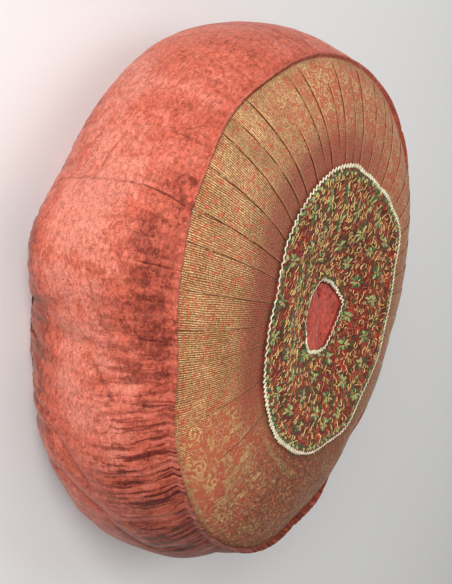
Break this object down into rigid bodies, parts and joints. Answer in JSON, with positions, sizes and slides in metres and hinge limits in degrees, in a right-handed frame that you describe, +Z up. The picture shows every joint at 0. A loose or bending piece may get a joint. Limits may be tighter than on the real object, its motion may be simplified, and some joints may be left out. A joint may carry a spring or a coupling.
{
  "type": "round floor cushion",
  "caption": "Round floor cushion with a wide bulging velvet side band, a pleated brocade ring and an embroidered middle, lying on its back.",
  "frame": {"origin": "under the middle of the flat resting face of the back panel, at floor level", "axes": "+Z up through the middle of the cushion, from its back to its decorated face"},
  "size_m": [0.4321, 0.4582, 0.16],
  "materials": {
    "coral_velvet": "crushed pile, mottled",
    "brocade": "ribbed gold weft on coral ground",
    "embroidery": "dark red ground with couched thread",
    "cream_braid": "twisted cotton braid",
    "rose_velvet": "short pile"
  },
  "bodies": {
    "root": {"cushion_body": "coral_velvet", "back_panel": "coral_velvet", "pleated_ring": "brocade", "embroidered_ring": "embroidery", "outer_braid": "cream_braid", "centre_patch": "rose_velvet", "inner_braid": "cream_braid"}
  },
  "joints": []
}
